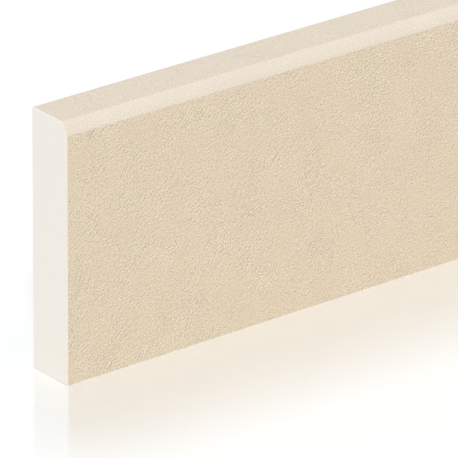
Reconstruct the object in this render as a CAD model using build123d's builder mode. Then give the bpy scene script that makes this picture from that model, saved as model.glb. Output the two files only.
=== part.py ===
from build123d import *
import os

# Skirting tile for the foot of a wall, pressed and fired in one piece
# X runs along the wall, the glazed face looks to -Y, the back is bonded at +Y and Z is up
# The origin is at the middle of the bottom edge

# Driving dimensions in millimetres
TILE_LENGTH = 300.0
TILE_HEIGHT = 60.0
TILE_THICKNESS = 12.0
EASED_EDGE_SETBACK = 2.0  # how far the eased top edge reaches back over the top
EASED_EDGE_DROP = 2.8  # how far the eased top edge reaches down the face
EASED_EDGE_CROWN = 0.3  # how far the eased edge swells past a straight bevel
ARRIS_RADIUS = 0.3  # small rounding that the die leaves on every other edge

# The eased edge is a shallow arc between two crisp lines, one on the face and one on the top
face_y = -TILE_THICKNESS / 2
square_corner = (face_y, TILE_HEIGHT)
eased_edge_foot = (face_y, TILE_HEIGHT - EASED_EDGE_DROP)
eased_edge_head = (face_y + EASED_EDGE_SETBACK, TILE_HEIGHT)

with BuildPart() as skirting_tile:
    # Pressed slab with all its arrises rounded
    with BuildSketch(Plane.XY):
        Rectangle(TILE_LENGTH, TILE_THICKNESS)
    extrude(amount=TILE_HEIGHT)
    fillet(edges(), radius=ARRIS_RADIUS)

    # Corner that the eased edge takes off along the whole length
    with BuildSketch(Plane.YZ):
        with BuildLine():
            Polyline(eased_edge_foot, square_corner, eased_edge_head)
            SagittaArc(eased_edge_foot, eased_edge_head, EASED_EDGE_CROWN)
        make_face()
    extrude(amount=TILE_LENGTH / 2, both=True, mode=Mode.SUBTRACT)

skirting_tile.part.label = "skirting_tile"

os.makedirs("parts", exist_ok=True)
export_step(skirting_tile.part, "parts/skirting_tile.step")
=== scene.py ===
import math

import bpy
import numpy as np
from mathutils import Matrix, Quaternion, Vector


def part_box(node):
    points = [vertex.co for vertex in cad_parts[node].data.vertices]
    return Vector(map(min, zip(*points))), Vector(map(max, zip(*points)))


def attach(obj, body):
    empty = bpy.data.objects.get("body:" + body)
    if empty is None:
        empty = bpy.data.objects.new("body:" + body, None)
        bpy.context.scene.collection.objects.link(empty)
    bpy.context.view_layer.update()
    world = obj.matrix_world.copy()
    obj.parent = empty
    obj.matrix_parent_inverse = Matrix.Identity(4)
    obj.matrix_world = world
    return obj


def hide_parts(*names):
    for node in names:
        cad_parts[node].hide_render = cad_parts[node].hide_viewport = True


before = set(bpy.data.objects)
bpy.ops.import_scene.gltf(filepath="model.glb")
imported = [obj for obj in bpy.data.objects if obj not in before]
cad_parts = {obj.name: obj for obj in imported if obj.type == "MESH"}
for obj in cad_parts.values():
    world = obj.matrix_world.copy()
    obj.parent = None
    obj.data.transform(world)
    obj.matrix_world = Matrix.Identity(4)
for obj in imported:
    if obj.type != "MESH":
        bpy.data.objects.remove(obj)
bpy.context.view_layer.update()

MM = 0.001

# The tile's own sizes: the box comes from the frame, and the edges are the ones that the die forms
TILE_LOW, TILE_HIGH = (np.array(corner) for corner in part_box("skirting_tile"))
LENGTH, THICKNESS, HEIGHT = TILE_HIGH - TILE_LOW
EASED_EDGE_SETBACK = 2.0 * MM
EASED_EDGE_DROP = 2.8 * MM
EASED_EDGE_CROWN = 0.3 * MM
ARRIS_RADIUS = 0.3 * MM
FOOT_ARRIS = 0.1 * MM  # the edges that stand on the floor are ground nearly crisp

# How finely the pressed surface is laid out
GLAZE_PITCH = 0.55 * MM  # grid over the face, the eased edge and the top
BODY_PITCH = 12.0 * MM  # grid over the plain back and bottom
CRISP_LINE = 0.15 * MM  # narrow row that keeps a corner line sharp
ARRIS_STEPS = 3

# Slow relief that is in the mesh: shortest and longest wave of each band, and its height
SWELL_WAVES = (
    (1.7 * MM, 3.4 * MM, 0.003 * MM),
    (3.4 * MM, 7.0 * MM, 0.003 * MM),
    (7.0 * MM, 14.0 * MM, 0.003 * MM),
)
WAVES_PER_BAND = 48
RELIEF_SEED = 7

# Fine relief that is bump, being too fine for the mesh: size and height of each grain
GRAINS = ((0.42 * MM, 0.034 * MM), (0.95 * MM, 0.004 * MM))
GRAIN_HEADING = 25  # degrees up from the tile's length, the way that the glaze was drawn over it
GRAIN_STRETCH = 1.3
NOISE_PEAK = 4.2  # how many times its usual height the noise texture can reach
CALM_SIZE = 8 * MM  # the patches in which the grain lies calmer or deeper
CALM_VALUES = (0.25, 0.75)  # values of the noise in the calmest and in the deepest patch
GRAIN_DEPTHS = (0.5, 1.45)  # share of the grain's height in the calmest and in the deepest patch
ONE_SIZE = 0.0  # noise detail that gives features of one size alone
PATCH_DETAIL = 1.0  # and one that breaks up the outline of a patch

# Eddies in the wet glaze that bend the grain and the strokes: shortest and longest wave, and root mean
# square slope of their movement
EDDY_WAVES = (9 * MM, 22 * MM)
EDDY_SHEAR = 0.45
EDDY_SEED = 3

# Brush strokes, bump too: heading in degrees, width, height and shift of each set
STROKES = ((52, 0.36 * MM, 0.029 * MM, 0.0), (47, 0.36 * MM, 0.026 * MM, 0.3))
STROKE_STRETCH = 12  # how many widths long a brush stroke is
PATCH_SIZE = 8 * MM  # the patches that the strokes lie in
PATCH_EDGES = (0.50, 0.62)  # values of the noise where a patch begins and where it is full
BRUSHED_OUT = 0.25  # share of the grain that the brush takes away where its strokes are
BRUSH_REACH = (15 * MM, 85 * MM)  # distances from an end over which the strokes grow faint
FAINTEST_STROKES = 0.3  # share of the strokes' height that is left beyond that

# Colour of the glaze: specks finer than the grain, drawn 0.3 mm wide so that they show, and a slow mottle
SAND = "#D9C7A9"
PALE_FLECK = "#F8EAD6"
PAINTED_SHEEN_AND_THIN_GLAZE = "#E2DDDB"  # painted sheen on the top and the eased edge, where on the edge the glaze also lies thin over the pale body
SPECK_SIZE = 0.3 * MM
MOTTLE_SIZE = 9 * MM
MOTTLE_DETAIL = 3.0
MOTTLE_SHARE = 0.1  # strength of the mottle beside the specks
PALENESS = (0.25, 0.85)  # values of specks and mottle together for the darkest and the palest sand
FLECK_POWER = 2.0  # keeps the ground even and the pale flecks few and small
FLECKS_WITH_DEPTH = 0.55  # how far the flecks' strength follows the grain's depth
GLAZE_ROUGHNESS = 0.5

# The bare body
BODY_DARKER = "#EFEBE1"
BODY_PALER = "#F3EFE7"
GLAZE_FILM = "#E6DBD0"  # where the glaze ran over the end arris
BODY_GRAIN = 0.5 * MM
BODY_GRAIN_HEIGHT = 0.01 * MM
BODY_GRAIN_DETAIL = 2.0
BODY_GRAIN_HARSHNESS = 0.7  # how strong the finer powder is beside the coarser
BODY_ROUGHNESS = 0.8

# Where the photograph was taken from, as real sizes around the tile's near left corner
VIEW_TURN = math.radians(38.49)
VIEW_TILT = math.radians(23.85)
VIEW_ROLL = math.radians(0.41)
VIEW_DISTANCE = 1406 * MM
AIM_ALONG = 43.31 * MM
AIM_UP = 24.59 * MM
PICTURE_SIDE = 458  # pixels
PIXELS_PER_MM = 4.688
SENSOR = 36.0  # width in millimetres, as the lens is given in millimetres too
NEAREST_SEEN = 50 * MM


# Colour and node helpers

COLOUR_A, COLOUR_B, COLOUR_MIXED = 6, 7, 2  # a Mix node's two inputs for colours, and its output for one


def colour(text):
    """Turns an sRGB hex value into linear red, green, blue and full alpha."""
    parts = [int(text[i : i + 2], 16) / 255 for i in (1, 3, 5)]
    return (*(c / 12.92 if c <= 0.04045 else ((c + 0.055) / 1.055) ** 2.4 for c in parts), 1.0)


def add(tree, kind, inputs=None, **settings):
    """Adds one node, sets its properties, and sets or links each input by name or number."""
    node = tree.nodes.new(kind)
    for name, value in settings.items():
        setattr(node, name, value)
    for name, value in (inputs or {}).items():
        socket = node.inputs[name]
        if isinstance(value, bpy.types.NodeSocket):
            tree.links.new(value, socket)
        else:
            socket.default_value = value
    return node


def new_material(name):
    """An empty material and its node tree."""
    material = bpy.data.materials.new(name)
    material.use_nodes = True
    material.node_tree.nodes.clear()
    return material, material.node_tree


# The section, as a closed path round the tile


def spaced(length, pitch, edge):
    """Distances from 0 up to, but not with, length: a narrow row at each end and even rows between."""
    rows = max(1, round((length - 2 * edge) / pitch))
    return np.concatenate([[0.0], np.linspace(edge, length - edge, rows + 1)])


def straight(start, end, pitch):
    """Points on a line at spaced() distances, each with the outward normal on the line's left side."""
    start, end = np.array(start), np.array(end)
    length = np.linalg.norm(end - start)
    along = (end - start) / length
    at = spaced(length, pitch, CRISP_LINE)[:, None]
    return start + at * along, np.tile([-along[1], along[0]], (len(at), 1))


def on_circle(centre, radius, turn):
    """Points on a circle at the angles in turn, each with its radial normal."""
    normal = np.stack([np.cos(turn), np.sin(turn)], axis=1)
    return np.array(centre) + radius * normal, normal


def rounded(centre, radius, first, last):
    """A small arris: even steps on a circle from one angle to another, without the last."""
    return on_circle(centre, radius, np.linspace(first, last, ARRIS_STEPS + 1)[:-1])


def eased_arc():
    """Centre, radius and both end angles of the arc that eases the top front edge.

    A chord c with its crown s belongs to a circle of radius (c * c / 4 + s * s) / (2 * s).
    """
    foot = np.array([TILE_LOW[1], TILE_HIGH[2] - EASED_EDGE_DROP])
    head = np.array([TILE_LOW[1] + EASED_EDGE_SETBACK, TILE_HIGH[2]])
    chord = np.linalg.norm(head - foot)
    radius = (chord**2 / 4 + EASED_EDGE_CROWN**2) / (2 * EASED_EDGE_CROWN)
    along = (head - foot) / chord
    outward = np.array([-along[1], along[0]])
    centre = (foot + head) / 2 - outward * (radius - EASED_EDGE_CROWN)
    middle = math.atan2(outward[1], outward[0])
    half = math.asin(chord / 2 / radius)
    return foot, head, centre, radius, middle + half, middle - half


def section_path():
    """The section's points, their normals, the zone that each lies in and its distance along the path.

    The path goes up the face, over the eased edge and the top, down the back and along the bottom.
    """
    front, back, bottom, top = TILE_LOW[1], TILE_HIGH[1], TILE_LOW[2], TILE_HIGH[2]
    r, f = ARRIS_RADIUS, FOOT_ARRIS
    foot, head, centre, radius, foot_angle, head_angle = eased_arc()
    arc_turn = foot_angle - spaced(radius * (foot_angle - head_angle), GLAZE_PITCH, CRISP_LINE) / radius
    quarter = math.pi / 2
    runs = [
        ("face", straight((front, bottom + f), foot, GLAZE_PITCH)),
        ("eased", on_circle(centre, radius, arc_turn)),
        ("top", straight(head, (back - r, top), GLAZE_PITCH)),
        ("body", rounded((back - r, top - r), r, quarter, 0)),
        ("body", straight((back, top - r), (back, bottom + f), BODY_PITCH)),
        ("body", rounded((back - f, bottom + f), f, 0, -quarter)),
        ("body", straight((back - f, bottom), (front + f, bottom), BODY_PITCH)),
        ("body", rounded((front + f, bottom + f), f, -quarter, -2 * quarter)),
    ]
    points = np.concatenate([run[1][0] for run in runs])
    normals = np.concatenate([run[1][1] for run in runs])
    zones = np.concatenate([[run[0]] * len(run[1][0]) for run in runs])
    steps = np.linalg.norm(np.diff(points, axis=0), axis=1)
    return points, normals, zones, np.concatenate([[0.0], np.cumsum(steps)])


# The relief and the tile's surface


def plane_waves(draw, shortest, longest, along, around):
    """A band of plane waves, each as its length w, its heading h and cos(2 pi (u cos h + v sin h) / w + p).

    Lengths, headings and phases are drawn at random. The waves are scaled so that their sum has a root mean
    square of 1.
    """
    lengths = np.exp(draw.uniform(math.log(shortest), math.log(longest), WAVES_PER_BAND))
    headings = draw.uniform(0, math.pi, WAVES_PER_BAND)
    phases = draw.uniform(0, 2 * math.pi, WAVES_PER_BAND)
    for length, heading, phase in zip(lengths, headings, phases):
        reach = (along * math.cos(heading) + around * math.sin(heading)) / length
        yield length, heading, math.sqrt(2 / WAVES_PER_BAND) * np.cos(2 * math.pi * reach + phase)


def swell(along, around):
    """Height of the slow relief: the plane waves of each band, added up to the band's height."""
    draw = np.random.default_rng(RELIEF_SEED)
    height = np.zeros(np.broadcast(along, around).shape)
    for shortest, longest, size in SWELL_WAVES:
        for _, _, wave in plane_waves(draw, shortest, longest, along, around):
            height += size * wave
    return height


def eddies(along, around):
    """How far the eddies in the wet glaze carried it, along the tile and around it.

    Each plane wave moves the glaze square to its own heading by s * w / (2 pi) times the wave, with s for
    EDDY_SHEAR and w for its length. That shears and turns the pattern, and hardly squeezes it.
    """
    draw = np.random.default_rng(EDDY_SEED)
    carried = np.zeros((*np.broadcast(along, around).shape, 2))
    for length, heading, wave in plane_waves(draw, *EDDY_WAVES, along, around):
        reach = EDDY_SHEAR * length / (2 * math.pi)
        carried += reach * wave[..., None] * np.array([-math.sin(heading), math.cos(heading)])
    return carried[..., 0], carried[..., 1]


# For each zone of the section: share of the relief, share of painted sheen and thin glaze, and strength of
# the film of glaze that ran over the end arris
RELIEF_SHARE = {"face": 1.0, "eased": 0.12, "top": 0.85, "body": 0.0}
PAINTED_SHEEN_AND_THINNING = {"face": 0.0, "eased": 0.4, "top": 0.3, "body": 0.0}
RUN_OVER = {"face": 0.6, "eased": 1.0, "top": 0.6, "body": 0.0}

# How far the surface is sunk so that the slow relief stays inside the box: four times its root mean
# square height
SKIN = 4 * math.sqrt(sum(size**2 for _, _, size in SWELL_WAVES))


def brushed_share(along, zones):
    """How strong the brush strokes are, on the face alone.

    It is 1 at the ends and falls to the faintest over the brush's reach, by the smooth step
    t * t * (3 - 2 * t).
    """
    from_end = LENGTH / 2 - np.abs(along)
    near, far = BRUSH_REACH
    run = np.clip((from_end - near) / (far - near), 0, 1)
    faded = 1 - (1 - FAINTEST_STROKES) * run**2 * (3 - 2 * run)
    return faded * (zones == "face")


def end_columns():
    """Places along the tile, and how far the section is drawn in there by the rounded end arris.

    The arris is a quarter circle: at angle a it lies r - r * cos(a) in from the end and r - r * sin(a) in
    from the long faces.
    """
    turn = np.linspace(0, math.pi / 2, ARRIS_STEPS + 1)[:-1]
    run_in = ARRIS_RADIUS * (1 - np.cos(turn))
    drawn_in = ARRIS_RADIUS * (1 - np.sin(turn))
    middle = ARRIS_RADIUS + spaced(LENGTH - 2 * ARRIS_RADIUS, GLAZE_PITCH, CRISP_LINE)
    middle = np.append(middle, LENGTH - ARRIS_RADIUS)
    at = np.concatenate([run_in, middle, LENGTH - run_in[::-1]])
    return TILE_LOW[0] + at, np.concatenate([drawn_in, 0 * middle, drawn_in[::-1]])


def pressed_tile():
    """The whole tile as one closed surface: the section carried along the length.

    Point (u, v) is the section's point v, moved in along its normal by the skin less its share of the relief
    at (u, v), and let down by the skin, so that the tile stands on the floor. Where the end arris is, y is
    scaled towards the middle, and z is squeezed so that the top comes down by the arris and the bottom goes
    up by the smaller arris of the foot. The glaze is drawn on the attribute "unrolled", which is (u, v) laid
    out flat and moved by the eddies.
    """
    points, normals, zones, around = section_path()
    x, drawn_in = end_columns()
    share = np.array([RELIEF_SHARE[zone] for zone in zones])
    sunk = SKIN - share[None] * np.clip(swell(x[:, None], around[None]), -SKIN, SKIN)
    y = points[None, :, 0] - normals[None, :, 0] * sunk
    z = points[None, :, 1] - normals[None, :, 1] * sunk - SKIN
    lifted = drawn_in[:, None] * FOOT_ARRIS / ARRIS_RADIUS
    y = y * (1 - drawn_in[:, None] / (THICKNESS / 2))
    z = TILE_LOW[2] + lifted + (z - TILE_LOW[2]) * (1 - (drawn_in[:, None] + lifted) / HEIGHT)
    z = np.maximum(z, TILE_LOW[2])
    columns, rows = len(x), len(points)
    along = np.broadcast_to(x[:, None], (columns, rows))
    vertices = np.stack([along, y, z], axis=-1).reshape(-1, 3)

    number = np.arange(columns * rows).reshape(columns, rows)
    beside, over = number[1:], np.roll(number, -1, axis=1)
    quads = np.stack([number[:-1], beside, over[1:], over[:-1]], axis=-1).reshape(-1, 4)
    ends = [number[0].tolist(), number[-1][::-1].tolist()]

    mesh = bpy.data.meshes.new("pressed_tile")
    mesh.from_pydata(vertices, [], [*quads.tolist(), *ends])
    inside = (drawn_in[:-1] + drawn_in[1:])[:, None] == 0  # the glaze ends where the end arris begins
    glazed = (inside & (zones != "body")[None]).ravel()
    mesh.polygons.foreach_set("material_index", np.append(~glazed, [True, True]).astype(np.int32))
    mesh.polygons.foreach_set("use_smooth", np.append(np.ones(len(quads), bool), [False, False]))

    carried_along, carried_around = eddies(x[:, None], around[None])
    unrolled = np.stack([along + carried_along, around[None] + carried_around, 0 * along], axis=-1)
    mesh.attributes.new("unrolled", "FLOAT_VECTOR", "POINT").data.foreach_set("vector", unrolled.ravel())
    kept = {
        "relief": share,
        # painted sheen on the top and the eased edge, partly glaze drawn thin on the edge
        "painted_sheen_and_thinning": np.array([PAINTED_SHEEN_AND_THINNING[zone] for zone in zones]),
        "brushed": brushed_share(along, zones),
        "run_over": (drawn_in < ARRIS_RADIUS)[:, None] * np.array([RUN_OVER[zone] for zone in zones]),
    }
    for name, values in kept.items():
        column = np.broadcast_to(values, along.shape).astype(float).ravel()
        mesh.attributes.new(name, "FLOAT", "POINT").data.foreach_set("value", column)
    mesh.validate()
    mesh.update()
    tile = bpy.data.objects.new("skirting_tile_fired", mesh)
    bpy.context.scene.collection.objects.link(tile)
    return tile


# Finishes


def grain_depth(tree, unrolled):
    """Share of the grain's own height, going slowly from calm patches to deep ones."""
    calm = add(tree, "ShaderNodeTexNoise", {"Vector": unrolled, "Scale": 1 / CALM_SIZE,
               "Detail": PATCH_DETAIL})
    (low, high), (calmest, deepest) = CALM_VALUES, GRAIN_DEPTHS
    return add(tree, "ShaderNodeMapRange", {"Value": calm.outputs["Fac"], "From Min": low, "From Max": high,
               "To Min": calmest, "To Max": deepest}).outputs[0]


def leathery_grain(tree, unrolled, depth):
    """Height, in metres about zero, of the grain that the coarse sand in the glaze leaves."""
    drawn = add(tree, "ShaderNodeMapping", {"Vector": unrolled, "Scale": (GRAIN_STRETCH, 1, 1),
                "Rotation": (0, 0, math.radians(GRAIN_HEADING))}, vector_type="TEXTURE").outputs[0]
    height = 0.0
    for size, tall in GRAINS:
        noise = add(tree, "ShaderNodeTexNoise", {"Vector": drawn, "Scale": 1 / size, "Detail": ONE_SIZE})
        grain = add(tree, "ShaderNodeMapRange", {"Value": noise.outputs["Fac"], "To Min": -NOISE_PEAK * tall,
                    "To Max": NOISE_PEAK * tall}).outputs[0]
        height = add(tree, "ShaderNodeMath", {0: grain, 1: height}, operation="ADD").outputs[0]
    return add(tree, "ShaderNodeMath", {0: height, 1: depth}, operation="MULTIPLY").outputs[0]


def brush_strokes(tree, unrolled, heading, width, tall, shift):
    """Long thin ridges along one heading, in metres about zero, and the patches, 0 to 1, that hold them."""
    turned = add(tree, "ShaderNodeMapping", {"Vector": unrolled, "Rotation": (0, 0, math.radians(heading)),
                 "Scale": (STROKE_STRETCH, 1, 1)}, vector_type="TEXTURE").outputs[0]
    noise = add(tree, "ShaderNodeTexNoise", {"Vector": turned, "Scale": 1 / width, "Detail": ONE_SIZE})
    ridge = add(tree, "ShaderNodeMapRange", {"Value": noise.outputs["Fac"], "To Min": -NOISE_PEAK * tall,
                "To Max": NOISE_PEAK * tall}).outputs[0]

    moved = add(tree, "ShaderNodeMapping", {"Vector": unrolled, "Location": (shift, shift, 0)}).outputs[0]
    blots = add(tree, "ShaderNodeTexNoise", {"Vector": moved, "Scale": 1 / PATCH_SIZE,
                "Detail": PATCH_DETAIL})
    low, high = PATCH_EDGES
    patch = add(tree, "ShaderNodeMapRange", {"Value": blots.outputs["Fac"], "From Min": low,
                "From Max": high}, interpolation_type="SMOOTHSTEP").outputs[0]
    brushed = add(tree, "ShaderNodeAttribute", attribute_name="brushed").outputs["Fac"]
    patch = add(tree, "ShaderNodeMath", {0: patch, 1: brushed}, operation="MULTIPLY").outputs[0]
    return ridge, patch


def glaze_relief(tree, unrolled, depth):
    """The grain, a little flatter where the brush went over it, with the strokes on top."""
    height = leathery_grain(tree, unrolled, depth)
    brushed = [brush_strokes(tree, unrolled, *stroke) for stroke in STROKES]
    for ridge, patch in brushed:
        left = add(tree, "ShaderNodeMapRange", {"Value": patch, "To Min": 1.0,
                   "To Max": 1 - BRUSHED_OUT}).outputs[0]
        height = add(tree, "ShaderNodeMath", {0: height, 1: left}, operation="MULTIPLY").outputs[0]
    for ridge, patch in brushed:
        height = add(tree, "ShaderNodeMath", {0: ridge, 1: patch, 2: height},
                     operation="MULTIPLY_ADD").outputs[0]
    relief = add(tree, "ShaderNodeAttribute", attribute_name="relief").outputs["Fac"]
    return add(tree, "ShaderNodeMath", {0: height, 1: relief}, operation="MULTIPLY").outputs[0]


def speckled_sand(tree, unrolled, depth):
    """The glaze's colour: fine pale flecks and a slow mottle on sand, painted paler and greyer on the top
    and the eased edge as sheen, where on the edge the glaze also lies thin.
    """
    specks = add(tree, "ShaderNodeTexNoise", {"Vector": unrolled, "Scale": 1 / SPECK_SIZE,
                 "Detail": ONE_SIZE})
    mottle = add(tree, "ShaderNodeTexNoise", {"Vector": unrolled, "Scale": 1 / MOTTLE_SIZE,
                 "Detail": MOTTLE_DETAIL})
    both = add(tree, "ShaderNodeMath", {0: mottle.outputs["Fac"], 1: MOTTLE_SHARE, 2: specks.outputs["Fac"]},
               operation="MULTIPLY_ADD").outputs[0]
    darkest, palest = PALENESS
    pale = add(tree, "ShaderNodeMapRange", {"Value": both, "From Min": darkest,
               "From Max": palest}).outputs[0]
    flecks = add(tree, "ShaderNodeMath", {0: pale, 1: FLECK_POWER}, operation="POWER").outputs[0]
    strength = add(tree, "ShaderNodeMath", {0: depth, 1: FLECKS_WITH_DEPTH, 2: 1 - FLECKS_WITH_DEPTH},
                   operation="MULTIPLY_ADD").outputs[0]
    flecks = add(tree, "ShaderNodeMath", {0: flecks, 1: strength}, operation="MULTIPLY").outputs[0]
    sand = add(tree, "ShaderNodeMix", {0: flecks, COLOUR_A: colour(SAND), COLOUR_B: colour(PALE_FLECK)},
               data_type="RGBA").outputs[COLOUR_MIXED]
    # painted sheen: the top and the eased edge are mixed towards a paler grey, with the glaze also thin on
    # the edge
    painted_sheen_and_thinning = add(tree, "ShaderNodeAttribute", attribute_name="painted_sheen_and_thinning").outputs["Fac"]
    return add(tree, "ShaderNodeMix", {0: painted_sheen_and_thinning, COLOUR_A: sand, COLOUR_B: colour(PAINTED_SHEEN_AND_THIN_GLAZE)},
               data_type="RGBA").outputs[COLOUR_MIXED]


def matt_sand_glaze():
    """Matt textured glaze on the face, the eased edge and the top.

    To the eye it is a warm sand colour with a fine leathery grain and fine specks, crossed in places on the
    face by short brush strokes. The top and the eased edge carry a painted sheen that makes them paler and
    greyer;
    over the eased edge the glaze also drew thin in the kiln, so the pale body shows through it.
    """
    material, tree = new_material("matt sand glaze")
    unrolled = add(tree, "ShaderNodeAttribute", attribute_name="unrolled").outputs["Vector"]
    depth = grain_depth(tree, unrolled)
    relief = glaze_relief(tree, unrolled, depth)  # in metres, so the bump's distance is 1
    bump = add(tree, "ShaderNodeBump", {"Height": relief, "Strength": 1.0, "Distance": 1.0})
    shader = add(tree, "ShaderNodeBsdfPrincipled", {"Base Color": speckled_sand(tree, unrolled, depth),
                 "Roughness": GLAZE_ROUGHNESS, "Normal": bump.outputs[0]})
    add(tree, "ShaderNodeOutputMaterial", {"Surface": shader.outputs[0]})
    return material


def fired_stoneware():
    """Bare pressed and fired stoneware on the ends, the back and the bottom.

    To the eye it is a smooth pale cream with hardly any gloss, and a faint fine grain from the pressed
    powder. Round the end arris a thin film of glaze ran over it, which warms it a little.
    """
    material, tree = new_material("fired stoneware body")
    place = add(tree, "ShaderNodeTexCoord").outputs["Object"]
    grain = add(tree, "ShaderNodeTexNoise", {"Vector": place, "Scale": 1 / BODY_GRAIN,
                "Detail": BODY_GRAIN_DETAIL, "Roughness": BODY_GRAIN_HARSHNESS}).outputs["Fac"]
    bare = add(tree, "ShaderNodeMix", {0: grain, COLOUR_A: colour(BODY_DARKER),
               COLOUR_B: colour(BODY_PALER)}, data_type="RGBA").outputs[COLOUR_MIXED]
    run_over = add(tree, "ShaderNodeAttribute", attribute_name="run_over").outputs["Fac"]
    shown = add(tree, "ShaderNodeMix", {0: run_over, COLOUR_A: bare, COLOUR_B: colour(GLAZE_FILM)},
                data_type="RGBA").outputs[COLOUR_MIXED]
    bump = add(tree, "ShaderNodeBump", {"Height": grain, "Strength": 1.0, "Distance": BODY_GRAIN_HEIGHT})
    shader = add(tree, "ShaderNodeBsdfPrincipled", {"Base Color": shown, "Roughness": BODY_ROUGHNESS,
                 "Normal": bump.outputs[0]})
    add(tree, "ShaderNodeOutputMaterial", {"Surface": shader.outputs[0]})
    return material


# Floor, light and camera

FLOOR_SIDE = 80.0
FARTHEST_SEEN = 4 * FLOOR_SIDE
REFLECTION = 0.5  # share of the floor's colour that is its reflection, close to the tile
REFLECTION_FADES = (11 * MM, 49 * MM)  # distances from the tile over which the reflection goes
FLOOR_BOUNCE = "#EDEDED"  # what the floor throws back onto the tile
FLOOR_WHITE = "#FCFDFD"  # a touch cool, against the warm light that the face throws on it
FLOOR_SHINE = "#FBFDFF"
SHINE_ROUGHNESS = 0.1
WORLD_LEVEL = 0.62  # light from all round
KEY_LEVEL = 0.53  # light of the key on a surface that looks straight at it
KEY_FROM = (-0.44, -0.46, 0.77)  # from the tile towards the key
KEY_SPREAD = math.radians(15)


def seen_rays(tree):
    """The light path's outputs, and 1 for camera, glossy and transmission rays, which show the backdrop."""
    path = add(tree, "ShaderNodeLightPath").outputs
    seen = path["Is Camera Ray"]
    for kind in ("Is Glossy Ray", "Is Transmission Ray"):
        seen = add(tree, "ShaderNodeMath", {0: seen, 1: path[kind]}, operation="MAXIMUM").outputs[0]
    return path, seen


def distance_from_tile(tree):
    """How far a place on the floor is from the tile's foot.

    It is the length of (|x|, |y|) less half the tile's length and thickness, with nothing below 0.
    """
    place = add(tree, "ShaderNodeTexCoord").outputs["Object"]
    aside = add(tree, "ShaderNodeVectorMath", {0: place}, operation="ABSOLUTE").outputs[0]
    past = add(tree, "ShaderNodeVectorMath", {0: aside, 1: (LENGTH / 2, THICKNESS / 2, 0)},
               operation="SUBTRACT").outputs[0]
    outside = add(tree, "ShaderNodeVectorMath", {0: past, 1: (0, 0, 0)}, operation="MAXIMUM").outputs[0]
    return add(tree, "ShaderNodeVectorMath", {0: outside}, operation="LENGTH").outputs["Value"]


def white_floor():
    """Plain white floor that shows white to the camera and keeps the tile's soft shadow."""
    half = FLOOR_SIDE / 2
    corners = [(-half, -half, TILE_LOW[2]), (half, -half, TILE_LOW[2]),
               (half, half, TILE_LOW[2]), (-half, half, TILE_LOW[2])]
    mesh = bpy.data.meshes.new("floor")
    mesh.from_pydata(corners, [], [(0, 1, 2, 3)])
    floor = bpy.data.objects.new("floor", mesh)
    bpy.context.scene.collection.objects.link(floor)
    material, tree = new_material("white studio floor")
    near, far = REFLECTION_FADES
    share = add(tree, "ShaderNodeMapRange", {"Value": distance_from_tile(tree), "From Min": near,
                "From Max": far, "To Min": REFLECTION, "To Max": 0.0},
                interpolation_type="SMOOTHSTEP").outputs[0]
    path, seen = seen_rays(tree)
    mirrored = add(tree, "ShaderNodeMath", {0: share, 1: path["Is Camera Ray"]},
                   operation="MULTIPLY").outputs[0]
    shown = add(tree, "ShaderNodeMix", {0: seen, COLOUR_A: colour(FLOOR_BOUNCE),
                COLOUR_B: colour(FLOOR_WHITE)}, data_type="RGBA").outputs[COLOUR_MIXED]
    matt = add(tree, "ShaderNodeBsdfDiffuse", {"Color": shown}).outputs[0]
    shine = add(tree, "ShaderNodeBsdfGlossy", {"Color": colour(FLOOR_SHINE),
                "Roughness": SHINE_ROUGHNESS}).outputs[0]
    both = add(tree, "ShaderNodeMixShader", {0: mirrored, 1: matt, 2: shine})
    add(tree, "ShaderNodeOutputMaterial", {"Surface": both.outputs[0]})
    mesh.materials.append(material)


def studio_light():
    """A soft world, white to the camera and in reflections, and one large soft key from the upper left."""
    world = bpy.data.worlds.new("soft studio")
    bpy.context.scene.world = world
    world.use_nodes = True
    tree = world.node_tree
    tree.nodes.clear()
    seen = seen_rays(tree)[1]
    level = add(tree, "ShaderNodeMapRange", {"Value": seen, "To Min": WORLD_LEVEL, "To Max": 1.0}).outputs[0]
    light = add(tree, "ShaderNodeBackground", {"Color": (1, 1, 1, 1), "Strength": level})
    add(tree, "ShaderNodeOutputWorld", {"Surface": light.outputs[0]})

    lamp = bpy.data.lights.new("key", "SUN")
    lamp.energy = KEY_LEVEL * math.pi
    lamp.angle = KEY_SPREAD
    key = bpy.data.objects.new("key", lamp)
    key.rotation_euler = Vector(KEY_FROM).to_track_quat("Z", "Y").to_euler()
    bpy.context.scene.collection.objects.link(key)


def photograph_camera():
    """The photograph's long lens view from the front left and a little above."""
    ahead = Vector((math.sin(VIEW_TURN) * math.cos(VIEW_TILT),
                    math.cos(VIEW_TURN) * math.cos(VIEW_TILT),
                    -math.sin(VIEW_TILT)))
    aim = Vector(TILE_LOW) + Vector((AIM_ALONG, 0, AIM_UP))
    lens = bpy.data.cameras.new("camera")
    lens.sensor_width = SENSOR
    lens.lens = PIXELS_PER_MM * VIEW_DISTANCE / MM / PICTURE_SIDE * SENSOR
    lens.clip_start = NEAREST_SEEN
    lens.clip_end = FARTHEST_SEEN
    camera = bpy.data.objects.new("camera", lens)
    camera.location = aim - ahead * VIEW_DISTANCE
    level = ahead.to_track_quat("-Z", "Y")
    camera.rotation_euler = (level @ Quaternion((0, 0, 1), VIEW_ROLL)).to_euler()
    bpy.context.scene.collection.objects.link(camera)
    bpy.context.scene.camera = camera


bpy.context.scene.view_settings.view_transform = "Standard"
photograph_camera()
tile = pressed_tile()
tile.data.materials.append(matt_sand_glaze())
tile.data.materials.append(fired_stoneware())
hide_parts("skirting_tile")
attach(tile, "root")
white_floor()
studio_light()
